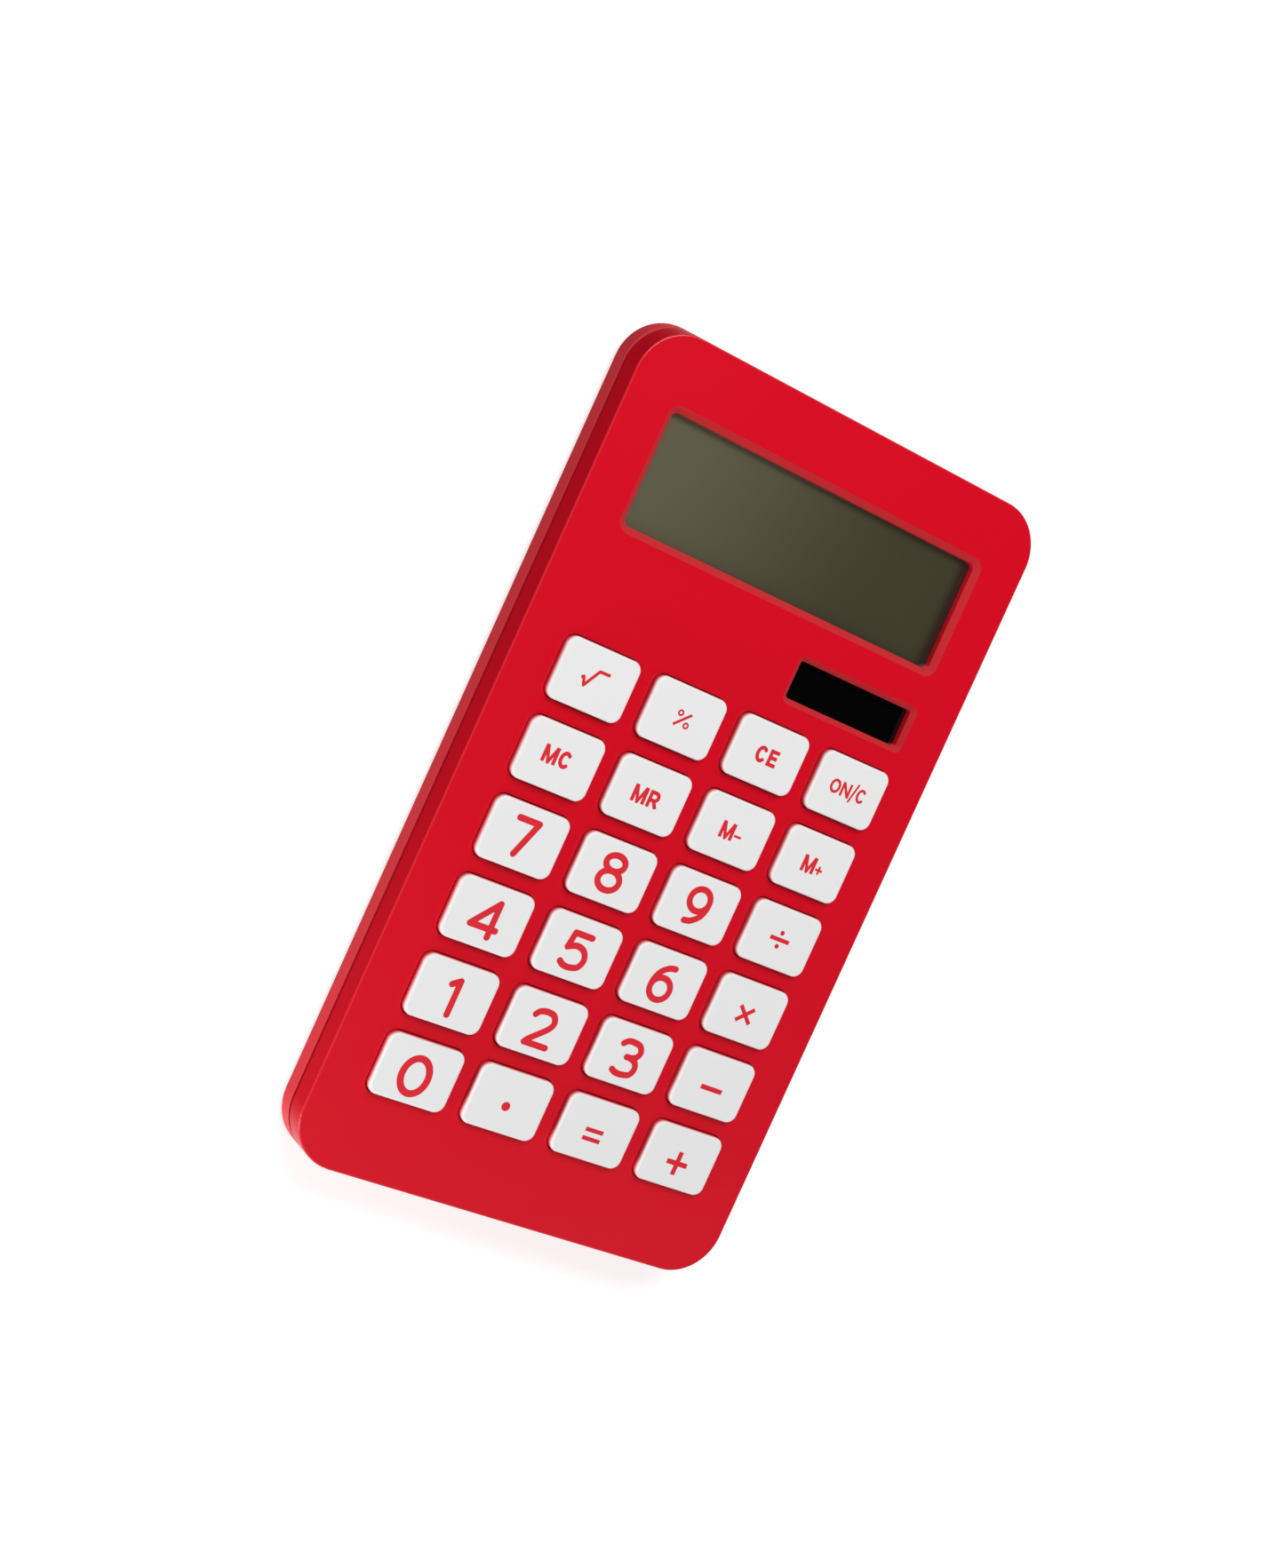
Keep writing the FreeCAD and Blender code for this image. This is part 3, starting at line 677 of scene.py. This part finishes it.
def trace(strokes: list[Stroke], step: float) -> list[list[Point]]:
    """Outline of the joined strokes, as closed loops.

    Args:
        strokes: Strokes that are printed together.
        step: Size of the tracing grid in millimetres.

    Returns:
        Loops of points in millimetres. Ink lies to the left of each loop.
    """
    every = np.array([p for s in strokes for p in s.points])
    edge = max(s.width for s in strokes) + 3 * step
    xs = np.arange(every[:, 0].min() - edge, every[:, 0].max() + edge, step)
    ys = np.arange(every[:, 1].min() - edge, every[:, 1].max() + edge, step)
    grid_x, grid_y = np.meshgrid(xs, ys, indexing="ij")
    depth = np.minimum.reduce([s.distance(grid_x, grid_y) for s in strokes])
    # A grid point that lies on the edge counts as just outside, so every crossing has two ends.
    depth[depth == 0] = HAIR_MM
    ink = depth < 0
    corners = (ink[:-1, :-1] * 1 + ink[1:, :-1] * 2 + ink[1:, 1:] * 4 + ink[:-1, 1:] * 8)
    # Sides of a cell: 0 bottom, 1 right, 2 top, 3 left. Each pair runs with the ink on its left.
    turns = {1: ((0, 3),), 2: ((1, 0),), 3: ((1, 3),), 4: ((2, 1),), 5: ((0, 3), (2, 1)),
             6: ((2, 0),), 7: ((2, 3),), 8: ((3, 2),), 9: ((0, 2),), 10: ((1, 0), (3, 2)),
             11: ((1, 2),), 12: ((3, 1),), 13: ((0, 1),), 14: ((3, 0),)}
    ends = {0: ((0, 0), (1, 0)), 1: ((1, 0), (1, 1)), 2: ((0, 1), (1, 1)), 3: ((0, 0), (0, 1))}
    following: dict[tuple, tuple] = {}
    for i, j in np.argwhere((corners > 0) & (corners < 15)):
        for sides in turns[int(corners[i, j])]:
            first, last = (tuple((i + di, j + dj) for di, dj in ends[side]) for side in sides)
            following[first] = last
    loops = []
    while following:
        start = next(iter(following))
        at = start
        loop = []
        while at in following:
            (i0, j0), (i1, j1) = at
            share = depth[i0, j0] / (depth[i0, j0] - depth[i1, j1])
            loop.append((float(xs[i0] + (xs[i1] - xs[i0]) * share),
                         float(ys[j0] + (ys[j1] - ys[j0]) * share)))
            at = following.pop(at)
        loops.append(loop)
    return loops


@dataclass
class KeyLegend:
    """Pad-printed legend on the top of one key."""

    node: str
    strokes: list[Stroke]
    shift: Point = (0.0, 0.0)
    ink_mm: float = 0.012
    bite_mm: float = 0.02
    step_mm: float = 0.05

    def build(self) -> bpy.types.Object:
        """Make the ink as one closed film that rides on its key.

        Returns:
            The ink's object.
        """
        low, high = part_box(self.node)
        centre = (low + high) / 2
        curve = bpy.data.curves.new("outline", "CURVE")
        curve.dimensions = "2D"
        curve.fill_mode = "BOTH"
        curve.extrude = (self.ink_mm + self.bite_mm) / 2 * MM
        for loop in trace(self.strokes, self.step_mm):
            spline = curve.splines.new("POLY")
            spline.points.add(len(loop) - 1)
            for point, (x, y) in zip(spline.points, loop):
                point.co = (x * MM, y * MM, 0.0, 1.0)
            spline.use_cyclic_u = True
        holder = bpy.data.objects.new("outline", curve)
        film = bpy.data.meshes.new_from_object(holder)
        bpy.data.objects.remove(holder)
        bpy.data.curves.remove(curve)
        middle = high.z + (self.ink_mm - self.bite_mm) / 2 * MM
        film.transform(Matrix.Translation((centre.x + self.shift[0] * MM,
                                           centre.y + self.shift[1] * MM, middle)))
        weld(film)
        piece = bpy.data.objects.new(self.node.replace("key_", "legend_"), film)
        bpy.context.scene.collection.objects.link(piece)
        piece.data.materials.clear()
        piece.data.materials.append(PAD_INK.material())
        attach(piece, self.node)
        return piece


def weld(mesh: bpy.types.Mesh) -> None:
    """Join the points that lie on each other, so the mesh is closed.

    Args:
        mesh: Mesh to join up in place.
    """
    work = bmesh.new()
    work.from_mesh(mesh)
    bmesh.ops.remove_doubles(work, verts=work.verts, dist=WELD_DISTANCE)
    bmesh.ops.recalc_face_normals(work, faces=work.faces)
    work.to_mesh(mesh)
    work.free()


@dataclass
class Keypad:
    """The 24 keys: satin caps with a printed legend each. Sizes are in millimetres."""

    numerals: Numerals = field(default_factory=Numerals)
    memory_letters: Lettering = field(default_factory=lambda: Lettering(3.0, 0.67))
    switch_letters: Lettering = field(default_factory=lambda: Lettering(2.6, 0.5))
    sign_pen: float = 0.75
    digit_across: float = -0.25
    digit_up: tuple[float, ...] = (-0.6, -0.4, -0.3, 0.0)

    def function_strokes(self) -> dict[str, tuple[list[Stroke], Point]]:
        """Legends of the operator and function keys.

        Returns:
            Strokes and shift from the key's centre, by node.
        """
        pen = self.sign_pen
        dot = oval(0, 0, 0.01, 0.01, steps=4)
        bar = Stroke(((-2.05, 0.0), (2.05, 0.0)), pen, True)
        equals = Stroke(((-1.8, 0.0), (1.8, 0.0)), pen, True)
        memory = self.memory_letters
        return {
            "key_square_root": ([Stroke(((-2.4, -0.45), (-1.95, -0.2), (-1.44, -1.55),
                                         (0.41, 1.5), (2.47, 1.53)), 0.55, True)], (-0.2, 0.1)),
            "key_percent": ([Stroke(oval(-0.75, 0.92, 0.42, 0.42), 0.34, closed=True),
                             Stroke(oval(1.05, -0.8, 0.42, 0.42), 0.34, closed=True),
                             Stroke(((-1.35, -1.35), (1.4, 1.25)), 0.48, True)], (-0.05, -0.1)),
            "key_clear_entry": (memory.strokes("CE", 0.32), (0.0, -0.1)),
            "key_on_clear": (self.switch_letters.strokes("ON/C", 0.22), (0.05, 0.0)),
            "key_memory_clear": (memory.strokes("MC", 0.3), (-0.55, 0.2)),
            "key_memory_recall": (memory.strokes("MR", 0.34), (-0.25, -0.2)),
            "key_memory_minus": (memory.strokes("M-", 0.2), (-0.15, -0.2)),
            "key_memory_plus": (memory.strokes("M+", 0.2), (-0.15, -0.2)),
            "key_divide": ([bar, *moved([Stroke(dot, 0.85)], 0, 1.24),
                            *moved([Stroke(dot, 0.85)], 0, -1.24)], (-0.05, -0.2)),
            "key_multiply": ([Stroke(((-1.5, -1.4), (1.5, 1.4)), pen, True),
                              Stroke(((-1.5, 1.4), (1.5, -1.4)), pen, True)], (-0.1, -0.5)),
            "key_minus": ([Stroke(((-2.25, 0.0), (2.25, 0.0)), 0.88, True)], (-0.05, -0.7)),
            "key_equals": ([*moved([equals], 0, 0.8), *moved([equals], 0, -0.8)], (-0.3, -0.8)),
            "key_plus": ([Stroke(((-2.15, 0.0), (2.15, 0.0)), 0.92, True),
                          Stroke(((0.0, -2.15), (0.0, 2.15)), 0.92, True)], (-0.15, -0.9)),
            "key_decimal": ([Stroke(dot, 1.6)], (-0.25, -0.7)),
        }

    def digit_shift(self, digit: Digit) -> Point:
        """How far each numeral is printed from its key's centre, in millimetres.

        Args:
            digit: Which numeral.

        Returns:
            Shift across and up.
        """
        row = (digit.value + 2) // 3
        return (self.digit_across, self.digit_up[row])

    def build(self, nodes: dict[str, bpy.types.Object]) -> list[bpy.types.Object]:
        """Dress every key and print its legend.

        Args:
            nodes: The frame's objects by node.

        Returns:
            The legends.
        """
        for name in nodes:
            if name.startswith("key_"):
                dress(nodes, name, WHITE_ABS.material())
        made = []
        for digit in Digit:
            strokes = self.numerals.strokes(digit)
            made.append(KeyLegend(f"key_{digit.value}", strokes, self.digit_shift(digit)).build())
        for node, (strokes, shift) in self.function_strokes().items():
            made.append(KeyLegend(node, strokes, shift).build())
        return made


# ---- the rest of the calculator ------------------------------------------------------------


def dress(nodes: dict[str, bpy.types.Object], name: str, material: bpy.types.Material) -> None:
    """Give a carried-over CAD node its finish.

    Args:
        nodes: The frame's objects by node.
        name: Node to dress.
        material: Finish for all of it.
    """
    for slot in nodes[name].material_slots:
        slot.material = material
    LOG.info("dressed %s in %s", name, material.name)


@dataclass
class Casing:
    """Both housings, the battery door, the feet and the case screws."""

    rear_nodes: tuple[str, ...] = ("rear_housing", "battery_door")
    feet: tuple[str, ...] = ("foot_front_left", "foot_front_right", "foot_rear_left",
                             "foot_rear_right")

    def build(self, nodes: dict[str, bpy.types.Object]) -> None:
        """Dress the casing.

        Args:
            nodes: The frame's objects by node.
        """
        dress(nodes, "front_housing", RED_ABS.material())
        for name in self.rear_nodes:
            dress(nodes, name, SPARKED_RED_ABS.material())
        for name in self.feet:
            dress(nodes, name, FOOT_RUBBER.material())
        dress(nodes, "case_screws", ZINC_STEEL.material())


@dataclass
class Display:
    """The liquid crystal display's layers and their holder."""

    film: PolariserFilm = field(default_factory=PolariserFilm)

    def build(self, nodes: dict[str, bpy.types.Object]) -> None:
        """Dress the display.

        Args:
            nodes: The frame's objects by node.
        """
        low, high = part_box("lcd_polariser")
        dress(nodes, "lcd_polariser", self.film.material(low, high))
        for name in ("lcd_front_glass", "lcd_rear_glass"):
            dress(nodes, name, DISPLAY_GLASS.material())
        dress(nodes, "lcd_reflector", REFLECTOR_FILM.material())
        dress(nodes, "lcd_holder", NATURAL_ABS.material())
        dress(nodes, "lcd_connector_strip", CARBON_RUBBER.material())


@dataclass
class Electronics:
    """The board, the rubber keypad, the solar cell and the battery."""

    finishes: dict[str, Finish] = field(default_factory=lambda: {
        "solar_cell": SOLAR_GLASS,
        "solar_wires": WIRE_PVC,
        "circuit_board": BOARD_LAMINATE,
        "board_key_pads": CARBON_PRINT,
        "board_screws": ZINC_STEEL,
        "board_capacitor": CAPACITOR_BODY,
        "board_resistors": POTTING_EPOXY,
        "chip_cover": POTTING_EPOXY,
        "rubber_keypad": SILICONE,
        "contact_pills": CARBON_RUBBER,
        "battery_cell": NICKEL_STEEL,
        "battery_contact_leaf": NICKEL_STEEL,
        "battery_contact_clip": NICKEL_STEEL,
    })

    def build(self, nodes: dict[str, bpy.types.Object]) -> None:
        """Dress the electronics.

        Args:
            nodes: The frame's objects by node.
        """
        for name, finish in self.finishes.items():
            dress(nodes, name, finish.material())


# ---- studio --------------------------------------------------------------------------------


@dataclass(frozen=True)
class SoftBox:
    """One soft light that is aimed at the middle of the floor, in metres and watts."""

    name: str
    place: tuple[float, float, float]
    size: Point
    power: float

    def build(self) -> bpy.types.Object:
        """Hang the light and aim it.

        Returns:
            The light's object.
        """
        lamp = bpy.data.lights.new(self.name, "AREA")
        lamp.shape = "RECTANGLE"
        lamp.size, lamp.size_y = self.size
        lamp.energy = self.power
        light = bpy.data.objects.new(self.name, lamp)
        light.location = self.place
        light.rotation_euler = (-Vector(self.place)).to_track_quat("-Z", "Y").to_euler()
        light.visible_camera = False
        bpy.context.scene.collection.objects.link(light)
        return light


@dataclass(frozen=True)
class Shade:
    """Darker part of the tent round one direction, fading out between two angles in degrees."""

    towards: tuple[float, float, float]
    inner: float
    outer: float
    remaining: float

    def build(self, tree: bpy.types.NodeTree,
              towards: bpy.types.NodeSocket) -> bpy.types.NodeSocket:
        """Share of the tent's light that is left in each direction.

        Args:
            tree: Node tree of the world.
            towards: Direction that is looked in.

        Returns:
            The share, from what remains in the middle of the shade to one.
        """
        near = add_node(tree, "VectorMath", {"operation": "DOT_PRODUCT"}, {1: self.towards},
                        {0: towards})
        cloth = add_node(tree, "MapRange", {"interpolation_type": "SMOOTHSTEP"}, {
            "From Min": math.cos(math.radians(self.outer)),
            "From Max": math.cos(math.radians(self.inner)),
            "To Min": 1.0, "To Max": self.remaining}, {"Value": near.outputs["Value"]})
        return cloth.outputs[0]


@dataclass
class Studio:
    """White light tent with a dark flag over the face, soft boxes and a pale floor.

    The tent is dimmer to the left of the calculator and below it.
    """

    floor_size: float = 3.0
    floor_tone: str = "#C8C8C8"
    floor_roughness: float = 0.9
    floor_specular: float = 0.1
    floor_glow: float = 0.55
    tent_light: float = 0.92
    flag: Shade = Shade((0.504, 0.164, 0.848), 14.0, 40.0, 0.0)
    left_side: Shade = Shade((-0.94, 0.34, 0.0), 10.0, 75.0, 0.25)
    underside: Shade = Shade((-0.36, 0.36, -0.86), 25.0, 70.0, 0.03)
    boxes: tuple[SoftBox, ...] = (
        SoftBox("soft_box_end", (-0.10, 0.42, 0.52), (0.50, 0.30), 3.0),
        SoftBox("soft_box_left", (-0.16, -0.16, 0.03), (0.06, 0.03), 0.22),
    )

    def build_floor(self) -> bpy.types.Object:
        """Lay the floor.

        Returns:
            The floor's object.
        """
        half = self.floor_size / 2
        mesh = bpy.data.meshes.new("floor")
        corners = [(-half, -half, 0.0), (half, -half, 0.0), (half, half, 0.0), (-half, half, 0.0)]
        mesh.from_pydata(corners, [], [(0, 1, 2, 3)])
        floor = bpy.data.objects.new("floor", mesh)
        bpy.context.scene.collection.objects.link(floor)
        sweep = bpy.data.materials.new("backlit_acrylic_sweep")
        sweep.use_nodes = True
        tree = sweep.node_tree
        tree.nodes.clear()
        shader = add_node(tree, "BsdfPrincipled", values={
            "Base Color": linear(self.floor_tone), "Roughness": self.floor_roughness,
            "Specular IOR Level": self.floor_specular, "Emission Color": linear(WHITE),
            "Emission Strength": self.floor_glow})
        add_node(tree, "OutputMaterial", links={"Surface": shader.outputs[0]})
        floor.data.materials.append(sweep)
        floor.visible_diffuse = False
        floor.visible_glossy = False
        return floor

    def build_tent(self) -> bpy.types.World:
        """Light the world like the inside of the tent.

        Returns:
            The world.
        """
        world = bpy.data.worlds.new("light_tent")
        bpy.context.scene.world = world
        world.use_nodes = True
        tree = world.node_tree
        tree.nodes.clear()
        towards = add_node(tree, "TexCoord").outputs["Generated"]
        light = add_node(tree, "Math", {"operation": "MULTIPLY"}, {1: self.tent_light},
                         {0: self.flag.build(tree, towards)}).outputs[0]
        for shade in (self.left_side, self.underside):
            light = add_node(tree, "Math", {"operation": "MULTIPLY"},
                             links={0: light, 1: shade.build(tree, towards)}).outputs[0]
        cloth = add_node(tree, "Background", values={"Color": linear(WHITE)},
                         links={"Strength": light})
        add_node(tree, "OutputWorld", links={"Surface": cloth.outputs[0]})
        return world

    def build(self) -> None:
        """Set up the floor, the lights and the plain colour handling."""
        for made in (self.build_floor(), self.build_tent(), *(box.build() for box in self.boxes)):
            LOG.info("set up %s", made.name)
        bpy.context.scene.view_settings.view_transform = "Standard"


@dataclass
class Viewpoint:
    """Camera that looks down on the keypad from the left and a little from the display end.

    The angles are its rotation about X, Y and Z in degrees, and the sensor and the focal
    length are in millimetres.
    """

    place_mm: tuple[float, float, float] = (-213.49, 25.49, 373.11)
    angles: tuple[float, float, float] = (-15.328, -26.267, 27.419)
    focal_length: float = 57.36
    shift: Point = (-0.02895, -0.01303)
    sensor: float = 36.0
    nearest: float = 0.01

    def build(self) -> bpy.types.Object:
        """Place the camera and make it the scene's own.

        Returns:
            The camera's object.
        """
        lens = bpy.data.cameras.new("camera")
        lens.sensor_width = self.sensor
        lens.lens = self.focal_length
        lens.shift_x, lens.shift_y = self.shift
        lens.clip_start = self.nearest
        camera = bpy.data.objects.new("camera", lens)
        camera.location = [v * MM for v in self.place_mm]
        camera.rotation_euler = Euler([math.radians(a) for a in self.angles])
        bpy.context.scene.collection.objects.link(camera)
        bpy.context.scene.camera = camera
        return camera


def main() -> None:
    """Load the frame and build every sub-assembly in order."""
    logging.basicConfig(level=logging.INFO, format="%(name)s: %(message)s")
    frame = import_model()
    nodes = frame["nodes"]
    Casing().build(nodes)
    Display().build(nodes)
    Electronics().build(nodes)
    for legend in Keypad().build(nodes):
        LOG.info("printed %s", legend.name)
    Studio().build()
    Viewpoint().build()


if __name__ == "__main__":
    main()
